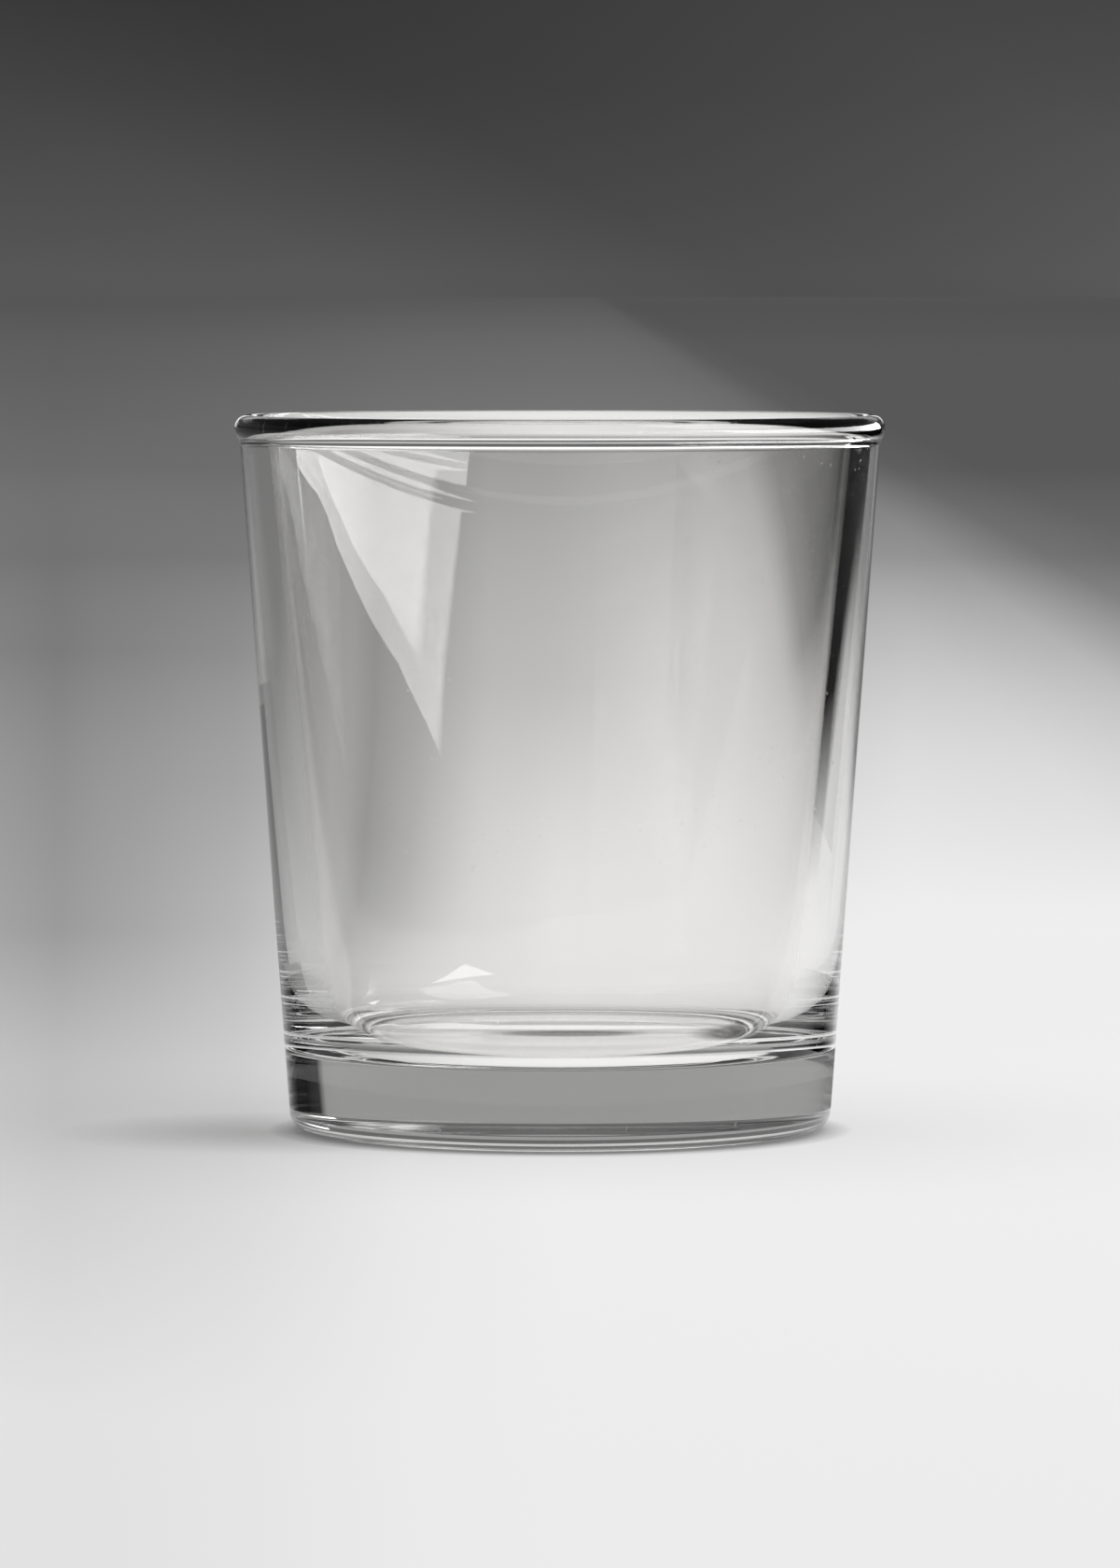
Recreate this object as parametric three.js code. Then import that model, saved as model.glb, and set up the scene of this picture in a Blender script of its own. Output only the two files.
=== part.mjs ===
// Rocks glass: a straight tapered tumbler in one piece of clear pressed glass, with a heavy base,
// a rounded heel on a low foot ring, and a full round bead at the rim.
// Millimetres, +Z up, the axis of the glass on Z, the foot ring standing on Z = 0.
import * as THREE from 'three';

// Outside of the wall
const height = 92.6;            // table to the crest of the rim
const rimRadius = 42;           // over the bead
const baseRadius = 34.9;        // outer wall carried straight down to the table
const heelRadius = 2.2;         // round between the wall and the underside

// Bead at the rim
const beadHeight = 3.4;         // foot of the bead's flank to the crest
const beadProud = 0.65;         // how far the bead stands out of the wall
const beadFlank = 1.15;         // height of the sloping flank under the bead
const beadHollow = 3;           // hollow between the wall and the flank
const flankRound = 2.2;         // round between the flank and the bead
const beadRound = 1.6;          // outer round of the crest
const lipRound = 2.5;           // inner round of the crest

// Inside
const rimWall = 3.6;            // wall just under the bead
const floorWall = 5.65;         // wall carried straight down to the inside floor
const floorThickness = 10.2;    // table to the inside floor
const cornerRise = 18;          // where the soft corner leaves the wall, up from the floor
const cornerReach = 7.5;        // where it joins the floor, in from the wall
const cornerFullness = 0.85;    // how near it keeps to the wall and the floor, from 0 to 1

// Underside
const footInset = 3.6;          // foot ring in from the wall's base radius
const footWidth = 2.3;          // bearing width of the foot ring
const footHeight = 0.4;         // foot ring down from the heel
const recessDepth = 0.9;        // hollow inside the foot ring
const footRound = 0.2;          // softened edges of the foot ring

// Fineness of the surface
const segments = 72;            // around the axis
const chordError = 0.03;        // most that a facet may cut off a round of the outline
const cornerSteps = 16;         // along the soft corner

// Radius of a straight wall at height z, from its radii at two heights.
function wallRadius(z, lowZ, lowRadius, highZ, highRadius) {
  return lowRadius + (highRadius - lowRadius) * (z - lowZ) / (highZ - lowZ);
}

// How far the outline turns at a corner, from straight on.
function turnAngle(last, corner, next) {
  return Math.PI - last.clone().sub(corner).angleTo(next.clone().sub(corner));
}

// The arc that rounds a corner, tangent to both edges at the distance setback from the corner.
function cornerArc(last, corner, next, setback) {
  const turn = turnAngle(last, corner, next);
  const radius = setback / Math.tan(turn / 2);
  const start = last.clone().sub(corner).setLength(setback);
  const end = next.clone().sub(corner).setLength(setback);
  const centre = start.clone().add(end).setLength(radius / Math.cos(turn / 2));
  start.sub(centre);
  end.sub(centre);
  const clockwise = start.cross(end) < 0;
  centre.add(corner);
  const arc = new THREE.ArcCurve(centre.x, centre.y, radius, start.angle(), end.angle(), clockwise);
  const widestStep = 2 * Math.acos(1 - Math.min(chordError / radius, 1));
  return arc.getPoints(Math.ceil(turn / widestStep));
}

// An outline through corners { r, z, round }, open at its two ends. Two rounds that are too large
// for the edge between them share it in proportion.
function roundedOutline(corners) {
  const points = corners.map(({ r, z }) => new THREE.Vector2(r, z));
  const isEnd = (i) => i === 0 || i === points.length - 1;
  const wanted = corners.map(({ round }, i) => (
    isEnd(i) ? 0 : round * Math.tan(turnAngle(points[i - 1], points[i], points[i + 1]) / 2)));
  const share = (i, other) => (
    points[i].distanceTo(points[other]) * wanted[i] / (wanted[i] + wanted[other]));
  return points.flatMap((point, i) => {
    if (isEnd(i)) return [point];
    const setback = Math.min(wanted[i], share(i, i - 1), share(i, i + 1));
    return cornerArc(points[i - 1], point, points[i + 1], setback);
  });
}

// The soft corner inside: it leaves the wall gently and turns tightest near the floor.
function softCorner(wallEnd, corner, floorEnd) {
  const wallPull = wallEnd.clone().lerp(corner, cornerFullness);
  const floorPull = floorEnd.clone().lerp(corner, cornerFullness);
  const curve = new THREE.CubicBezierCurve(wallEnd, wallPull, floorPull, floorEnd);
  return curve.getPoints(cornerSteps);
}

// The half section of the glass, from the axis under the base, up the outside, over the rim and
// down the inside to the axis on the floor.
function glassOutline() {
  const beadUnderside = height - beadHeight;
  const wallTopRadius = rimRadius - beadProud;
  const innerTopRadius = wallTopRadius - rimWall;
  const outerRadius = (z) => wallRadius(z, 0, baseRadius, beadUnderside, wallTopRadius);
  const innerFloorRadius = outerRadius(floorThickness) - floorWall;
  const innerRadius = (z) => wallRadius(z, floorThickness, innerFloorRadius, beadUnderside, innerTopRadius);
  const footOuter = baseRadius - footInset;
  const footInner = footOuter - footWidth;
  const cornerTop = floorThickness + cornerRise;
  const wallEnd = new THREE.Vector2(innerRadius(cornerTop), cornerTop);
  const corner = new THREE.Vector2(innerFloorRadius, floorThickness);
  const floorEnd = new THREE.Vector2(innerFloorRadius - cornerReach, floorThickness);
  const underToWall = roundedOutline([
    { r: 0, z: recessDepth },
    { r: footInner, z: recessDepth, round: footRound },
    { r: footInner, z: 0, round: footRound },
    { r: footOuter, z: 0, round: footRound },
    { r: footOuter, z: footHeight, round: footRound },
    { r: outerRadius(footHeight), z: footHeight, round: heelRadius },
    { r: wallTopRadius, z: beadUnderside, round: beadHollow },
    { r: rimRadius, z: beadUnderside + beadFlank, round: flankRound },
    { r: rimRadius, z: height, round: beadRound },
    { r: innerRadius(height), z: height, round: lipRound },
    { r: wallEnd.x, z: wallEnd.y },
  ]);
  const cornerToFloor = softCorner(wallEnd, corner, floorEnd).slice(1);
  const floorCentre = new THREE.Vector2(0, floorThickness);
  return [...underToWall, ...cornerToFloor, floorCentre];
}

function glassBody() {
  const geometry = new THREE.LatheGeometry(glassOutline(), segments);
  geometry.rotateX(Math.PI / 2);
  const material = new THREE.MeshStandardMaterial({
    color: 0xf4f4f2,
    roughness: 0.02,
    metalness: 0,
    transparent: true,
    opacity: 0.35,
  });
  const mesh = new THREE.Mesh(geometry, material);
  mesh.name = 'glass_body';
  return mesh;
}

const rocksGlass = new THREE.Group();
rocksGlass.name = 'rocks_glass';
rocksGlass.add(glassBody());

export default rocksGlass;
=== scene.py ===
"""A rocks glass of clear pressed glass on a pale table, under soft studio light."""
import math

import bpy
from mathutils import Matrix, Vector


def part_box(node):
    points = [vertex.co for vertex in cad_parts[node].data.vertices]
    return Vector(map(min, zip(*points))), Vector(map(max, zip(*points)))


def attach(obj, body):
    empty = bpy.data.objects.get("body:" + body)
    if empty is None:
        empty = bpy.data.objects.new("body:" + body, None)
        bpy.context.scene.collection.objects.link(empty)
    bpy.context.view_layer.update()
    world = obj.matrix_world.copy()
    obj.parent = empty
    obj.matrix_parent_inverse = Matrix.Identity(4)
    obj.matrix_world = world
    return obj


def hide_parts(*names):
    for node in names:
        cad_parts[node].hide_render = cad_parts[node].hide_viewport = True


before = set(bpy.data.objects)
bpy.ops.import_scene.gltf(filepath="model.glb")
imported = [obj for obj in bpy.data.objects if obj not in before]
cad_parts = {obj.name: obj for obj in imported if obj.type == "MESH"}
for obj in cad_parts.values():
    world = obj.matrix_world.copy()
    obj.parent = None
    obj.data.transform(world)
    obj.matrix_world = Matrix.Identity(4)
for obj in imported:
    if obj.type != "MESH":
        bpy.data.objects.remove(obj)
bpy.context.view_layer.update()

MM = 0.001

# Sizes of the glass, in metres. The rim and the height come from the frame.
_, glass_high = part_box("glass_body")
HEIGHT = glass_high.z
RIM_RADIUS = glass_high.x
BASE_RADIUS = 34.9 * MM
HEEL_ROUND = 2.2 * MM
BEAD_HEIGHT = 3.4 * MM
BEAD_UNDERSIDE = HEIGHT - BEAD_HEIGHT
BEAD_PROUD = 0.65 * MM
BEAD_HOLLOW = 3 * MM
BEAD_FLANK = 1.15 * MM
FLANK_ROUND = 2.2 * MM
BEAD_ROUND = 1.6 * MM
LIP_ROUND = 2.5 * MM
RIM_WALL = 3.6 * MM
FLOOR_WALL = 5.65 * MM
FLOOR_THICKNESS = 10.2 * MM
CORNER_RISE = 18 * MM
CORNER_TOP = FLOOR_THICKNESS + CORNER_RISE
CORNER_REACH = 7.5 * MM
CORNER_FULLNESS = 0.85
FOOT_INSET = 3.6 * MM
FOOT_WIDTH = 2.3 * MM
FOOT_HEIGHT = 0.4 * MM
RECESS_DEPTH = 0.9 * MM
FOOT_ROUND = 0.2 * MM
CREASE_ROUND = 0.1 * MM

# Fineness of the surface
SEGMENTS = 256
ARC_STEP = math.radians(6)
LEAST_ARC_STEPS = 2
CORNER_STEPS = 24

# Clear glass. Scales are waves per metre.
GLASS_IOR = 1.52
GLASS_DENSITY = 4
GLASS_TINT = (1, 0.994, 0.984, 1)
WAVE_SCALE = (60, 60, 8)
WAVE_DETAIL = 2
WAVE_DEPTH = 0.01 * MM
SPECK_SCALE = (1600, 1600, 1600)
SPECK_DETAIL = 0
SPECK_ROUGHNESS = ((0.81, 0), (0.83, 0.2))

TABLE_RADIUS = 40.0
TABLE_SIDES = 128
TABLE_ROUGHNESS = 0.8
TABLE_SPECULAR = 0.1
GLASS_CENTRE = (0, 0, 0)

# Painted light and shade on the table, as stops of a distance and a grey: a painted pool of light around the
# glass that falls off to grey. Depth, far and all amounts go by the distance behind the glass, right and side
# by the distance to the right of it, and left and centre by that distance as a share of the pool of light,
# which widens behind the glass.
DEPTH_GREYS = ((-0.4, 0.84), (0, 0.87), (0.36, 0.87), (0.6, 0.8), (0.93, 0.72), (1.5, 0.55), (2.4, 0.33),
               (4.0, 0.2))
FAR_GREYS = ((4, 1), (6, 0.87), (9, 0.77), (18, 0.62), (27, 0.54), (40, 0.49))
FAR_AMOUNT = ((4, 1), (9, 0.8), (27, 0.45), (40, 0.2))
POOL_SPREAD = 0.84
LEAST_POOL = 0.3
LEFT_GREYS = ((-0.25, 0.2), (-0.16, 0.27), (-0.13, 0.37), (-0.1, 0.47), (-0.08, 0.45), (-0.065, 0.36),
              (-0.054, 0.44), (-0.042, 0.55), (-0.02, 0.88), (0, 1))
LEFT_AMOUNT = ((-0.3, 0.15), (-0.1, 0.4), (0, 0.52), (0.1, 0.62), (0.25, 0.83), (0.36, 0.97), (1.5, 1),
               (2.4, 0.78), (4, 0.4), (9, 0.45))
CENTRE_GREYS = ((-0.06, 1), (-0.03, 0.82), (0, 0.72), (0.03, 0.88), (0.045, 1))
CENTRE_AMOUNT = ((0.3, 0), (0.8, 1), (3, 1), (6, 0))
RIGHT_GREYS = ((0.06, 1), (0.11, 0.96), (0.15, 0.84), (0.19, 0.47), (0.24, 0.36))
RIGHT_AMOUNT = ((0.4, 0), (0.65, 1), (4, 0.8), (9, 0.7))
SIDE_GREYS = ((0.2, 1), (0.3, 0.6), (0.4, 0.1))
SIDE_AMOUNT = ((0.9, 1), (1.6, 0))

# Share of the lamps' light in what is seen of the table, by the distance from the axis of the glass.
# The rest is the painted light and shade, which glows on its own.
LIT_BY_LAMPS = ((0.0305, 0), (0.0315, 0.5), (0.15, 0.4), (0.45, 0))

# Shade at the foot of the glass, by the distance from the axis and from a place at its left
FOOT_GREYS = ((0.0305, 1), (0.0313, 0.3), (0.0335, 0.5), (0.038, 1))
CONTACT_CENTRE = (-0.036, -0.004, 0)
CONTACT_GREYS = ((0, 0.66), (0.012, 0.78), (0.03, 1))

# Painted light on the table under the glass, by the distance from the axis, and soft patches of painted shade
# in it that show only through both sides of the wall: the centre, the stretch of each axis and greys by the
# distance
UNDER_LIGHT = ((0.0305, 1.12), (0.0312, 1))
UNDER_CROSSINGS = 4
UNDER_SHADE_PATCHES = (
    ((0.001, 0.004, 0), (1, 3, 1), ((0, 0.06), (0.007, 0.12), (0.012, 1))),
    ((0.028, 0.002, 0), (1, 1, 1), ((0, 0.06), (0.007, 0.1), (0.011, 1))),
)

# Greys of the surroundings, by the upward part of the direction, and factors of a slanting band, by the
# upward part and a share of the part to the right
WORLD_GREYS = ((0, 0.09), (0.006, 0.077), (0.02, 0.053), (0.033, 0.04), (0.06, 0.1), (0.2, 0.12),
               (0.35, 0.05), (0.62, 0.05), (0.78, 0.12), (1, 0.4))
BAND_SLOPE = 0.513
BAND_GREYS = ((-0.08, 1), (-0.012, 1.08), (0, 0.97), (0.01, 0.88), (0.02, 0.95), (0.03, 1.08), (0.045, 1.32),
              (0.06, 1.4), (0.12, 1))

# Lamps
TOP_HEIGHT = 1.6
TOP_SIZE = 2.0
TOP_RADIANCE = 1.9
SIDE_AZIMUTH = 70
SIDE_ELEVATION = 45
SIDE_DISTANCE = 1.5
SIDE_SIZE = 1.0
SIDE_RADIANCE = 2.5

# Cards seen only in the glass, as painted reflections: sheets that give off their own light, or none, and
# light nothing. Each stop along a card is the azimuth from straight behind the glass towards the right, the
# distance from the axis, the lower edge and the upper edge. Soft edges are shares of the card, at its first
# end, its last end and its lower edge.
FLAG = (
    (29, 0.228, 0.054, 0.088), (42.5, 0.163, 0.043, 0.088), (49, 0.146, 0.028, 0.086),
    (54, 0.136, 0.012, 0.0825), (73, 0.115, 0.011, 0.0745), (90, 0.11, 0.01, 0.07),
    (107, 0.115, 0.01, 0.0635), (119, 0.126, 0.01, 0.0585), (140, 0.16, 0.01, 0.0585),
)
FLAG_SOFT = (0, 0, 0.4)
BOUNCE_FLAG = ((20, 0.2, 0, 0.09), (48, 0.2, 0, 0.09))
# Painted shade seen only through the base and heel: grey and black cards that stand for the darker table
# behind the glass
BASE_SHADE_CARD = ((-60, 0.065, 0, 0.0115), (-25, 0.065, 0, 0.0105), (15, 0.065, 0, 0.0105), (23, 0.065, 0, 0.0115))
BASE_SHADE_SOFT = (0, 0.03, 0)
BASE_SHADE_TOP = ((-45, 0.065, 0.0105, 0.05), (21, 0.065, 0.0105, 0.05))
BASE_SHADE_END = ((42, 0.3, 0, 0.022), (80, 0.3, 0, 0.022))
HEEL_CARD = ((-60, 0.05, 0, 0.03), (60, 0.05, 0, 0.03))
# Painted dark reflections on the outside of the glass: a grey card and low black flags, seen by no other
# light
RIGHT_DARK_CARD = ((30, 0.048, 0, 0.008), (120, 0.048, 0, 0.008))
RIGHT_DARK_SOFT = (0, 0.5, 0)
LOW_FLAGS = (
    ((38, 0.1, 0, 0.011), (85, 0.1, 0, 0.011)),
    ((-85, 0.1, 0, 0.011), (-38, 0.1, 0, 0.011)),
    ((-110, 0.048, 0, 0.008), (-55, 0.048, 0, 0.008)),
)
LOW_FLAG_SOFT = (0.4, 0.4, 0)
# A panel that glows only in the glass as a painted highlight; it lights nothing
HIGHLIGHT_PANEL = (
    (30, 0.3, 0.071, 0.146), (64, 0.3, 0.0655, 0.146), (90, 0.3, 0.06, 0.146),
    (104, 0.3, 0.06, 0.146), (113.5, 0.3, 0.061, 0.146), (119, 0.3, 0.076, 0.146),
    (123, 0.3, 0.0895, 0.146), (133, 0.3, 0.116, 0.146), (141, 0.3, 0.14, 0.146),
)
PANEL_SOFT = (0, 0, 0.16)
# A strip and a panel far behind that glow only in the glass as painted highlights
BACK_STRIP = ((-18, 4, 0.06, 0.48), (-6, 4, 0.06, 0.48), (-3, 4, 0.25, 0.48), (16, 4, 0.27, 0.48))
BACK_PANEL = ((-30, 4, 0.8, 1.3), (30, 4, 0.8, 1.3))
BACK_SOFT = (0.3, 0.3, 0)
HARD = (0, 0, 0)
CARD_STEP = 2

# Light that the cards give off: black and greys for painted shade and dark reflections, brighter for painted
# highlights
BLACK = 0.004
BASE_SHADE_GREY = 0.38
BASE_SHADE_TOP_GREY = 0.14
HEEL_GREY = 0.2
RIGHT_DARK_GREY = 0.25
HIGHLIGHT_PANEL_GREY = 6.0
BACK_STRIP_GREY = 1.15
BACK_PANEL_GREY = 0.5

# How often the light has crossed the surface of the glass and been reflected when it sees a card
OUTSIDE_CROSSINGS = 0
BASE_CROSSINGS = 2
NO_REFLECTIONS = 0
HEEL_REFLECTIONS = (1, 2)
FLAG_REFLECTIONS = 3
COUNT_MARGIN = 0.5

# Bounces that thick glass needs
MAX_BOUNCES = 24
GLOSSY_BOUNCES = 12

# The photograph's camera, with angles in degrees
LEVEL = 90
CAMERA_DISTANCE = 1.187
CAMERA_HEIGHT = 0.111
CAMERA_PITCH = 3.19
CAMERA_LENS = 210.9
SENSOR_WIDTH = 36


def link(obj):
    bpy.context.scene.collection.objects.link(obj)
    return obj


def wall_radius(z, low, high):
    """Radius at height z of a straight wall through two points (radius, height)."""
    share = (z - low[1]) / (high[1] - low[1])
    return low[0] + (high[0] - low[0]) * share


def outer_radius(z):
    """Radius of the outer wall, carried straight on below and above."""
    return wall_radius(z, (BASE_RADIUS, 0), (RIM_RADIUS - BEAD_PROUD, BEAD_UNDERSIDE))


def inner_radius(z):
    """Radius of the inner wall, carried straight on below and above."""
    low = (outer_radius(FLOOR_THICKNESS) - FLOOR_WALL, FLOOR_THICKNESS)
    high = (outer_radius(BEAD_UNDERSIDE) - RIM_WALL, BEAD_UNDERSIDE)
    return wall_radius(z, low, high)


def outline_point(position, normal):
    """A point of the half section with the outward direction of the surface there."""
    return Vector(position), Vector(normal).normalized()


def corner_arc(last, corner, following, radius):
    """Outline points of the arc that rounds a corner, tangent to both edges."""
    corner = Vector(corner)
    to_last = (Vector(last) - corner).normalized()
    to_next = (Vector(following) - corner).normalized()
    turn = math.pi - to_last.angle(to_next)
    centre = corner + (to_last + to_next).normalized() * radius / math.cos(turn / 2)
    start = corner + to_last * radius * math.tan(turn / 2) - centre
    way = 1 if to_last.angle_signed(to_next) > 0 else -1
    start_angle = math.atan2(start.y, start.x)
    steps = max(LEAST_ARC_STEPS, math.ceil(turn / ARC_STEP))
    points = []
    for i in range(steps + 1):
        angle = start_angle + way * turn * i / steps
        spoke = Vector((math.cos(angle), math.sin(angle)))
        points.append(outline_point(centre + radius * spoke, way * spoke))
    return points


def rounded_outline(corners):
    """Outline points through corners (radius, height, round), without the two ends."""
    places = [corner[:2] for corner in corners]
    outline = []
    for i in range(1, len(corners) - 1):
        outline += corner_arc(places[i - 1], places[i], places[i + 1], corners[i][2])
    return outline


def soft_corner(start, corner, end):
    """Outline points of a soft corner: a curve that leaves one edge gently and joins the other."""
    start, corner, end = Vector(start), Vector(corner), Vector(end)
    first_pull = start.lerp(corner, CORNER_FULLNESS)
    last_pull = end.lerp(corner, CORNER_FULLNESS)
    points = []
    for i in range(CORNER_STEPS + 1):
        share = i / CORNER_STEPS
        middle = first_pull.lerp(last_pull, share)
        first = start.lerp(first_pull, share).lerp(middle, share)
        second = middle.lerp(last_pull.lerp(end, share), share)
        way = second - first
        points.append(outline_point(first.lerp(second, share), (way.y, -way.x)))
    return points


def outside_outline():
    """Outline points from the recess over the foot ring, up the outside and over the rim."""
    foot_outer = BASE_RADIUS - FOOT_INSET
    foot_inner = foot_outer - FOOT_WIDTH
    return rounded_outline([
        (0, RECESS_DEPTH, 0),
        (foot_inner, RECESS_DEPTH, FOOT_ROUND),
        (foot_inner, 0, FOOT_ROUND),
        (foot_outer, 0, FOOT_ROUND),
        (foot_outer, FOOT_HEIGHT, CREASE_ROUND),
        (outer_radius(FOOT_HEIGHT), FOOT_HEIGHT, HEEL_ROUND),
        (outer_radius(BEAD_UNDERSIDE), BEAD_UNDERSIDE, BEAD_HOLLOW),
        (RIM_RADIUS, BEAD_UNDERSIDE + BEAD_FLANK, FLANK_ROUND),
        (RIM_RADIUS, HEIGHT, BEAD_ROUND),
        (inner_radius(HEIGHT), HEIGHT, LIP_ROUND),
        (inner_radius(CORNER_TOP), CORNER_TOP, 0),
    ])


def inside_outline():
    """Outline points of the soft corner between the inner wall and the floor."""
    corner = inner_radius(FLOOR_THICKNESS)
    wall_end = (inner_radius(CORNER_TOP), CORNER_TOP)
    floor_end = (corner - CORNER_REACH, FLOOR_THICKNESS)
    return soft_corner(wall_end, (corner, FLOOR_THICKNESS), floor_end)


def glass_outline():
    """Half section: from the axis under the base, up the outside, over the rim, down to the floor."""
    under = outline_point((0, RECESS_DEPTH), (0, -1))
    floor = outline_point((0, FLOOR_THICKNESS), (0, 1))
    return [under, *outside_outline(), *inside_outline(), floor]


def turned(vectors):
    """Vectors (radius, height) of an outline turned around the axis: both ends once, the others as rings."""
    turns = [2 * math.pi * i / SEGMENTS for i in range(SEGMENTS)]
    rows = [(0, 0, vectors[0].y)]
    for vector in vectors[1:-1]:
        rows += [(vector.x * math.cos(turn), vector.x * math.sin(turn), vector.y) for turn in turns]
    return rows + [(0, 0, vectors[-1].y)]


def lathe_faces(count):
    """Faces of a surface of revolution with a number of points: a fan at each end and bands between."""
    last_ring = count - 1 - SEGMENTS
    faces = []
    for i in range(SEGMENTS):
        j = (i + 1) % SEGMENTS
        faces.append((0, 1 + j, 1 + i))
        for low in range(1, last_ring, SEGMENTS):
            high = low + SEGMENTS
            faces.append((low + i, low + j, high + j, high + i))
        faces.append((last_ring + i, last_ring + j, count - 1))
    return faces


def lathe(name, outline):
    """A closed smooth surface of revolution from an outline that starts and ends on the axis."""
    places = turned([place for place, _ in outline])
    normals = turned([normal for _, normal in outline])
    mesh = bpy.data.meshes.new(name)
    mesh.from_pydata(places, [], lathe_faces(len(places)))
    mesh.shade_smooth()
    mesh.normals_split_custom_set_from_vertices(normals)
    return link(bpy.data.objects.new(name, mesh))


def new_material(name):
    material = bpy.data.materials.new(name)
    material.use_nodes = True
    tree = material.node_tree
    return material, tree, tree.nodes["Principled BSDF"]


def grey(level):
    return (level, level, level, 1)


def math_node(tree, operation, *values, clamp=True):
    node = tree.nodes.new("ShaderNodeMath")
    node.operation = operation
    node.use_clamp = clamp
    for socket, value in zip(node.inputs, values):
        if isinstance(value, (int, float)):
            socket.default_value = value
        else:
            tree.links.new(value, socket)
    return node.outputs["Value"]


def is_count(tree, count, wanted):
    """1 where a count is the wanted one, and 0 elsewhere."""
    return math_node(tree, "COMPARE", count, wanted, COUNT_MARGIN)


def graded(tree, coordinate, stops):
    """A grey that follows a coordinate through (coordinate, grey) stops."""
    low, high = stops[0][0], stops[-1][0]
    share = tree.nodes.new("ShaderNodeMapRange")
    share.inputs["From Min"].default_value = low
    share.inputs["From Max"].default_value = high
    ramp = tree.nodes.new("ShaderNodeValToRGB")
    first, last = ramp.color_ramp.elements
    first.color, last.color = grey(stops[0][1]), grey(stops[-1][1])
    for place, level in stops[1:-1]:
        ramp.color_ramp.elements.new((place - low) / (high - low)).color = grey(level)
    tree.links.new(coordinate, share.inputs["Value"])
    tree.links.new(share.outputs["Result"], ramp.inputs["Fac"])
    return ramp.outputs["Color"]


def stretched(tree, place, factors):
    """A place with each of its parts times a factor of its own."""
    node = tree.nodes.new("ShaderNodeVectorMath")
    node.operation = "MULTIPLY"
    node.inputs[1].default_value = factors
    tree.links.new(place, node.inputs[0])
    return node.outputs["Vector"]


def distance_node(tree, place, centre, stretch=(1, 1, 1)):
    """The distance from a centre, counted more along the axes that are stretched."""
    node = tree.nodes.new("ShaderNodeVectorMath")
    node.operation = "DISTANCE"
    node.inputs[1].default_value = [part * factor for part, factor in zip(centre, stretch)]
    tree.links.new(stretched(tree, place, stretch), node.inputs[0])
    return node.outputs["Value"]


def from_axis(tree, place, stops):
    """A grey by the distance from the axis of the glass on the table."""
    return graded(tree, distance_node(tree, place, GLASS_CENTRE), stops)


def noise(tree, place, scale, detail):
    """A soft random height over the surface, with its own number of waves per metre along each axis."""
    waves = tree.nodes.new("ShaderNodeTexNoise")
    waves.inputs["Scale"].default_value = 1
    waves.inputs["Detail"].default_value = detail
    tree.links.new(stretched(tree, place, scale), waves.inputs["Vector"])
    return waves.outputs["Fac"]


def partly(tree, amount, level):
    """A factor that is 1 where the amount is 0, and the level where the amount is 1."""
    missing = math_node(tree, "SUBTRACT", 1, level)
    return math_node(tree, "SUBTRACT", 1, math_node(tree, "MULTIPLY", amount, missing))


def mix_surfaces(tree, share, first, second):
    """Gives a material a mix of two surfaces, with the share of the second."""
    mix = tree.nodes.new("ShaderNodeMixShader")
    tree.links.new(share, mix.inputs["Fac"])
    tree.links.new(first, mix.inputs[1])
    tree.links.new(second, mix.inputs[2])
    tree.links.new(mix.outputs["Shader"], tree.nodes["Material Output"].inputs["Surface"])


def mould_waves(tree, place):
    """Slight upright waves, as the mould leaves them."""
    bump = tree.nodes.new("ShaderNodeBump")
    bump.inputs["Distance"].default_value = WAVE_DEPTH
    tree.links.new(noise(tree, place, WAVE_SCALE, WAVE_DETAIL), bump.inputs["Height"])
    return bump.outputs["Normal"]


def clear_glass():
    """Clear glass with a faint warm tint, slight waves, fine wear specks and a light absorption."""
    material, tree, shader = new_material("clear_glass")
    shader.inputs["Base Color"].default_value = GLASS_TINT
    shader.inputs["IOR"].default_value = GLASS_IOR
    shader.inputs["Transmission Weight"].default_value = 1
    place = tree.nodes.new("ShaderNodeTexCoord").outputs["Object"]
    wear = graded(tree, noise(tree, place, SPECK_SCALE, SPECK_DETAIL), SPECK_ROUGHNESS)
    body = tree.nodes.new("ShaderNodeVolumeAbsorption")
    body.inputs["Color"].default_value = grey(0)
    body.inputs["Density"].default_value = GLASS_DENSITY
    tree.links.new(mould_waves(tree, place), shader.inputs["Normal"])
    tree.links.new(wear, shader.inputs["Roughness"])
    tree.links.new(body.outputs["Volume"], tree.nodes["Material Output"].inputs["Volume"])
    return material


def pool_share(tree, across, behind):
    """The distance to the right of the glass as a share of the pool of light, which widens behind it."""
    widening = math_node(tree, "MULTIPLY_ADD", behind, POOL_SPREAD, 1, clamp=False)
    width = math_node(tree, "MAXIMUM", widening, LEAST_POOL, clamp=False)
    return math_node(tree, "DIVIDE", across, width, clamp=False)


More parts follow.
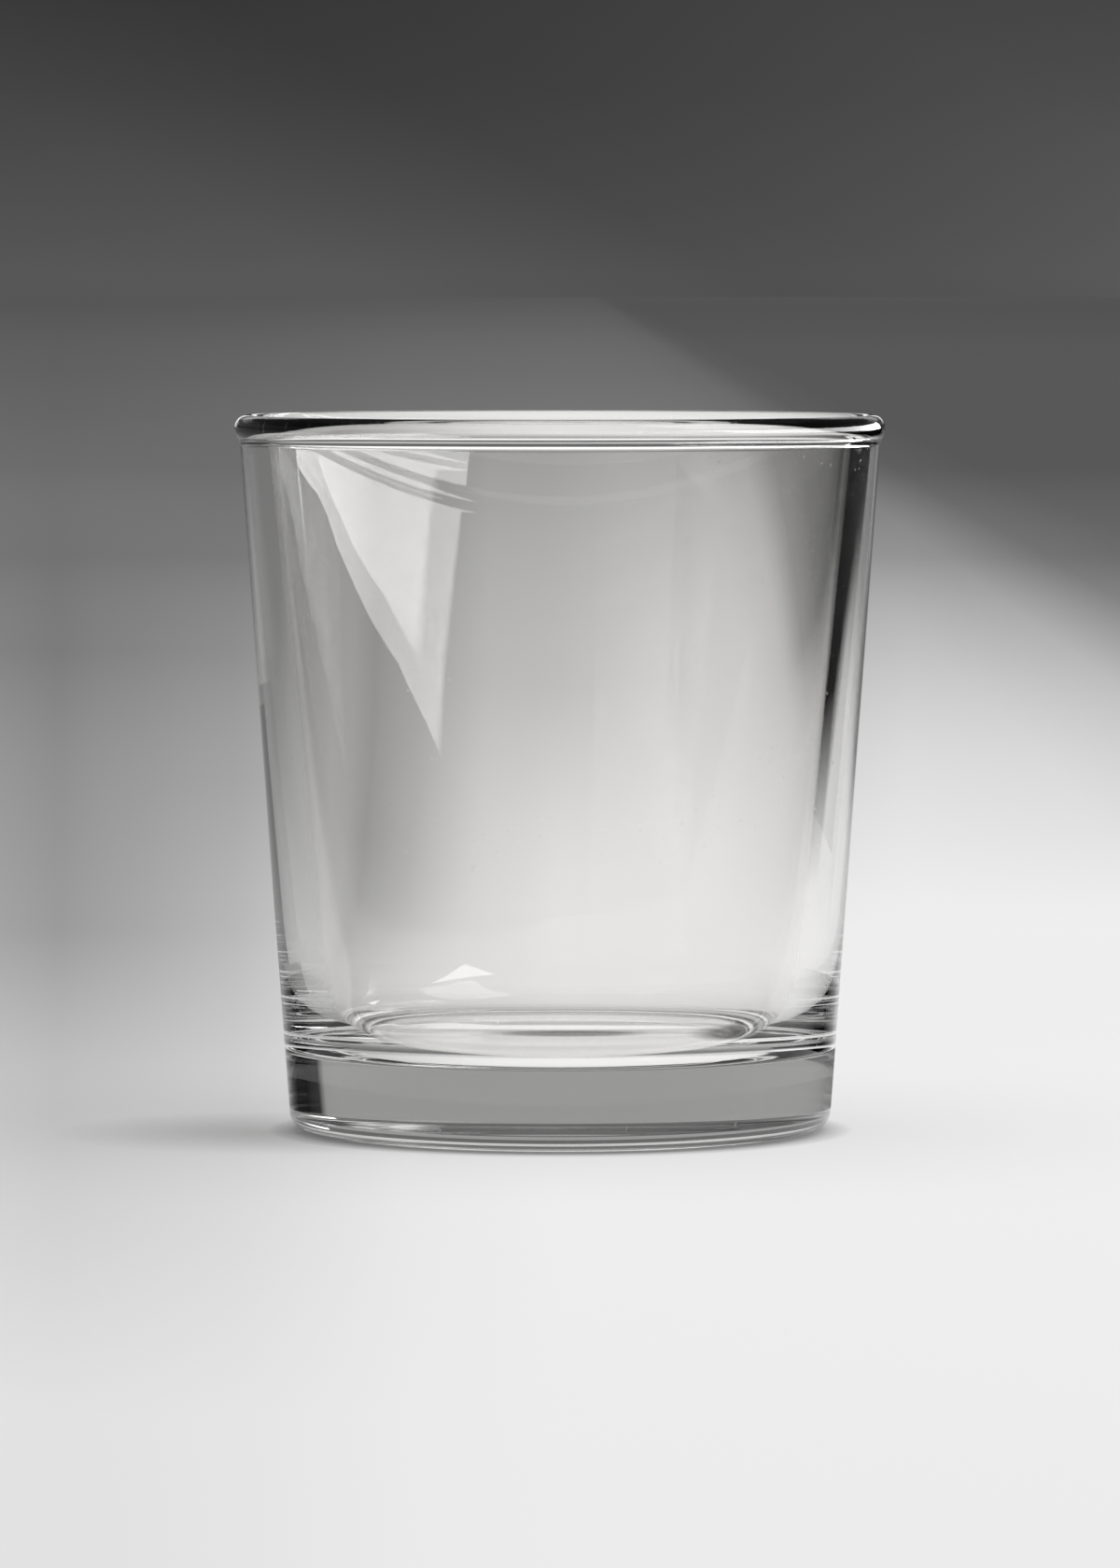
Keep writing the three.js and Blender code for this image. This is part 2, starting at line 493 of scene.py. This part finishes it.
def painted_table_light(tree, place):
    """Painted light and shade: a pale pool of light around the glass that falls off to grey behind it
    and to the sides, with painted shade at its foot.
    """
    parts = tree.nodes.new("ShaderNodeSeparateXYZ")
    tree.links.new(place, parts.inputs[0])
    across, behind = parts.outputs["X"], parts.outputs["Y"]
    pool = pool_share(tree, across, behind)
    far = graded(tree, behind, FAR_AMOUNT)
    left = math_node(tree, "MULTIPLY", far, graded(tree, behind, LEFT_AMOUNT))
    right = math_node(tree, "MULTIPLY", far, graded(tree, behind, RIGHT_AMOUNT))
    shades = [
        graded(tree, behind, FAR_GREYS),
        partly(tree, left, graded(tree, pool, LEFT_GREYS)),
        partly(tree, graded(tree, behind, CENTRE_AMOUNT), graded(tree, pool, CENTRE_GREYS)),
        partly(tree, right, graded(tree, across, RIGHT_GREYS)),
        partly(tree, graded(tree, behind, SIDE_AMOUNT), graded(tree, across, SIDE_GREYS)),
        graded(tree, distance_node(tree, place, CONTACT_CENTRE), CONTACT_GREYS),
        from_axis(tree, place, FOOT_GREYS),
    ]
    level = graded(tree, behind, DEPTH_GREYS)
    for shade in shades:
        level = math_node(tree, "MULTIPLY", level, shade)
    return level


def under_light(tree, place, crossed):
    """Strength of the painted glow: a little more under the glass as painted light, and less in the patches
    of painted shade seen through its wall.
    """
    through = is_count(tree, crossed, UNDER_CROSSINGS)
    light = from_axis(tree, place, UNDER_LIGHT)
    for centre, stretch, greys in UNDER_SHADE_PATCHES:
        patch = partly(tree, through, graded(tree, distance_node(tree, place, centre, stretch), greys))
        light = math_node(tree, "MULTIPLY", light, patch, clamp=False)
    return light


def seen_share(tree, place, paths):
    """Share of the painted light and shade, which glows on its own, in what the camera and the glass see of
    the table. The lamps give the rest.
    """
    seen = math_node(tree, "ADD", paths["Is Camera Ray"], paths["Is Glossy Ray"])
    seen = math_node(tree, "ADD", seen, paths["Is Transmission Ray"])
    lit = from_axis(tree, place, LIT_BY_LAMPS)
    return math_node(tree, "MULTIPLY", seen, math_node(tree, "SUBTRACT", 1, lit))


def table_material():
    """Pale matt paper whose colour is painted light and shade, which also glows on its own where the camera
    and the glass see it, with some of the lamps' light.
    """
    material, tree, shader = new_material("pale_table")
    shader.inputs["Roughness"].default_value = TABLE_ROUGHNESS
    shader.inputs["Specular IOR Level"].default_value = TABLE_SPECULAR
    place = tree.nodes.new("ShaderNodeNewGeometry").outputs["Position"]
    paths = tree.nodes.new("ShaderNodeLightPath").outputs
    # Painted light and shade: a pool of light with shade at the foot, as the paper's colour and its own glow
    level = painted_table_light(tree, place)
    painted_glow = tree.nodes.new("ShaderNodeEmission")
    tree.links.new(level, shader.inputs["Base Color"])
    tree.links.new(level, painted_glow.inputs["Color"])
    tree.links.new(under_light(tree, place, paths["Transmission Depth"]), painted_glow.inputs["Strength"])
    share = seen_share(tree, place, paths)
    mix_surfaces(tree, share, shader.outputs["BSDF"], painted_glow.outputs["Emission"])
    return material


def table():
    bpy.ops.mesh.primitive_circle_add(vertices=TABLE_SIDES, radius=TABLE_RADIUS, fill_type="NGON")
    disc = bpy.context.object
    disc.name = "table"
    disc.data.materials.append(table_material())


def studio_world():
    """A dim studio, paler overhead, with a slanting band of shade and light across it."""
    world = bpy.data.worlds.new("studio")
    bpy.context.scene.world = world
    world.use_nodes = True
    tree = world.node_tree
    direction = tree.nodes.new("ShaderNodeTexCoord")
    parts = tree.nodes.new("ShaderNodeSeparateXYZ")
    tree.links.new(direction.outputs["Generated"], parts.inputs[0])
    right, up = parts.outputs["X"], parts.outputs["Z"]
    slant = math_node(tree, "MULTIPLY_ADD", right, BAND_SLOPE, up, clamp=False)
    background = tree.nodes["Background"]
    tree.links.new(graded(tree, up, WORLD_GREYS), background.inputs["Color"])
    tree.links.new(graded(tree, slant, BAND_GREYS), background.inputs["Strength"])


def softbox(name, width, height, radiance):
    lamp = bpy.data.lights.new(name, "AREA")
    lamp.shape = "RECTANGLE"
    lamp.size = width
    lamp.size_y = height
    lamp.energy = radiance * width * height * math.pi
    return link(bpy.data.objects.new(name, lamp))


def top_softbox():
    """A wide softbox overhead, which lights the table and isn't seen in the glass."""
    lamp = softbox("top_softbox", TOP_SIZE, TOP_SIZE, TOP_RADIANCE)
    lamp.location = (0, 0, TOP_HEIGHT)
    lamp.visible_glossy = False
    lamp.visible_transmission = False


def side_softbox():
    """A square softbox high on the right, which lays the soft shadow to the left."""
    lamp = softbox("side_softbox", SIDE_SIZE, SIDE_SIZE, SIDE_RADIANCE)
    azimuth = math.radians(SIDE_AZIMUTH)
    elevation = math.radians(SIDE_ELEVATION)
    lamp.location = (SIDE_DISTANCE * math.cos(elevation) * math.sin(azimuth),
                     -SIDE_DISTANCE * math.cos(elevation) * math.cos(azimuth),
                     SIDE_DISTANCE * math.sin(elevation))
    lamp.rotation_euler = (math.radians(LEVEL) - elevation, 0, azimuth)


def fine_stops(stops):
    """The stops of a card, with steps of about CARD_STEP degrees between them."""
    rows = []
    for stop, following in zip(stops, stops[1:]):
        steps = max(1, round((following[0] - stop[0]) / CARD_STEP))
        for i in range(steps):
            rows.append(tuple(a + (b - a) * i / steps for a, b in zip(stop, following)))
    return rows + [stops[-1]]


def card_mesh(name, stops):
    """The surface of a curved card, where each point knows its shares of the way along it and up it."""
    verts, shares = [], []
    rows = fine_stops(stops)
    for i, (azimuth, distance, low, high) in enumerate(rows):
        turn = math.radians(azimuth)
        x, y = distance * math.sin(turn), distance * math.cos(turn)
        verts += [(x, y, low), (x, y, high)]
        way = i / (len(rows) - 1)
        shares += [way, 0, 0, way, 1, 0]
    faces = [(i, i + 2, i + 3, i + 1) for i in range(0, len(verts) - 2, 2)]
    mesh = bpy.data.meshes.new(name)
    mesh.from_pydata(verts, [], faces)
    mesh.attributes.new("shares", "FLOAT_VECTOR", "POINT").data.foreach_set("vector", shares)
    return mesh


def fade(tree, share, soft):
    """A cover that rises from 0 to 1 over the soft part of a share, or is 1 where nothing is soft."""
    return math_node(tree, "MULTIPLY", share, 1 / soft) if soft else 1


def edge_cover(tree, soft):
    """A cover that fades out at the soft edges of a card."""
    shares = tree.nodes.new("ShaderNodeAttribute")
    shares.attribute_name = "shares"
    parts = tree.nodes.new("ShaderNodeSeparateXYZ")
    tree.links.new(shares.outputs["Vector"], parts.inputs[0])
    from_first, from_low = parts.outputs["X"], parts.outputs["Y"]
    from_last = math_node(tree, "SUBTRACT", 1, from_first)
    ends = math_node(tree, "MULTIPLY", fade(tree, from_first, soft[0]), fade(tree, from_last, soft[1]))
    return math_node(tree, "MULTIPLY", ends, fade(tree, from_low, soft[2]))


def counted_cover(tree, cover, depth, wanted):
    """A cover for light with the wanted count of a Light Path depth, or for all light if none is wanted."""
    if wanted is None:
        return cover
    count = tree.nodes.new("ShaderNodeLightPath").outputs[depth]
    return math_node(tree, "MULTIPLY", cover, is_count(tree, count, wanted))


def card_material(name, level, soft, crossings, reflections):
    """A sheet of one grey that gives off its own light as a painted reflection, and is clear where it has no
    cover.
    """
    material, tree, _ = new_material(name)
    cover = edge_cover(tree, soft)
    cover = counted_cover(tree, cover, "Transmission Depth", crossings)
    cover = counted_cover(tree, cover, "Glossy Depth", reflections)
    paper = tree.nodes.new("ShaderNodeEmission")
    paper.inputs["Color"].default_value = grey(1)
    paper.inputs["Strength"].default_value = level
    clear = tree.nodes.new("ShaderNodeBsdfTransparent")
    mix_surfaces(tree, cover, clear.outputs["BSDF"], paper.outputs["Emission"])
    return material


def card(name, stops, level, soft=HARD, crossings=None, reflections=None):
    """A curved card that stands around the glass and is seen only in it, as a painted reflection. With a
    number of crossings or of reflections, only light that has crossed the surface or been reflected that
    often sees it."""
    mesh = card_mesh(name, stops)
    mesh.materials.append(card_material(name, level, soft, crossings, reflections))
    board = link(bpy.data.objects.new(name, mesh))
    board.visible_camera = False
    board.visible_shadow = False
    board.visible_diffuse = False


def camera():
    data = bpy.data.cameras.new("camera")
    data.lens = CAMERA_LENS
    data.sensor_width = SENSOR_WIDTH
    obj = link(bpy.data.objects.new("camera", data))
    obj.location = (0, -CAMERA_DISTANCE, CAMERA_HEIGHT)
    obj.rotation_euler = (math.radians(LEVEL - CAMERA_PITCH), 0, 0)
    bpy.context.scene.camera = obj


def light_paths():
    """Enough bounces for thick glass, and light that stays sharp through it."""
    cycles = bpy.context.scene.cycles
    cycles.max_bounces = MAX_BOUNCES
    cycles.transmission_bounces = MAX_BOUNCES
    cycles.glossy_bounces = GLOSSY_BOUNCES
    cycles.blur_glossy = 0


bpy.context.scene.view_settings.view_transform = "Standard"
light_paths()
camera()
studio_world()
table()
top_softbox()
side_softbox()
# Painted reflections in the glass: black flags and grey cards for painted shade, a glowing panel and back
# strips for painted highlights
card("flag", FLAG, BLACK, FLAG_SOFT)
card("bounce_flag", BOUNCE_FLAG, BLACK, reflections=FLAG_REFLECTIONS)
card("base_shade_card", BASE_SHADE_CARD, BASE_SHADE_GREY, BASE_SHADE_SOFT, crossings=BASE_CROSSINGS)
card("base_shade_top", BASE_SHADE_TOP, BASE_SHADE_TOP_GREY, crossings=BASE_CROSSINGS)
for turns in HEEL_REFLECTIONS:
    card("heel_card", HEEL_CARD, HEEL_GREY, crossings=BASE_CROSSINGS, reflections=turns)
card("base_shade_end", BASE_SHADE_END, BLACK, crossings=BASE_CROSSINGS, reflections=NO_REFLECTIONS)
card("right_dark_card", RIGHT_DARK_CARD, RIGHT_DARK_GREY, RIGHT_DARK_SOFT, crossings=OUTSIDE_CROSSINGS)
for stops in LOW_FLAGS:
    card("low_flag", stops, BLACK, LOW_FLAG_SOFT, crossings=OUTSIDE_CROSSINGS)
card("highlight_panel", HIGHLIGHT_PANEL, HIGHLIGHT_PANEL_GREY, PANEL_SOFT)
card("back_strip", BACK_STRIP, BACK_STRIP_GREY, BACK_SOFT)
card("back_panel", BACK_PANEL, BACK_PANEL_GREY, BACK_SOFT)

glass = lathe("glass", glass_outline())
glass.data.materials.append(clear_glass())
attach(glass, "root")
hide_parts("glass_body")
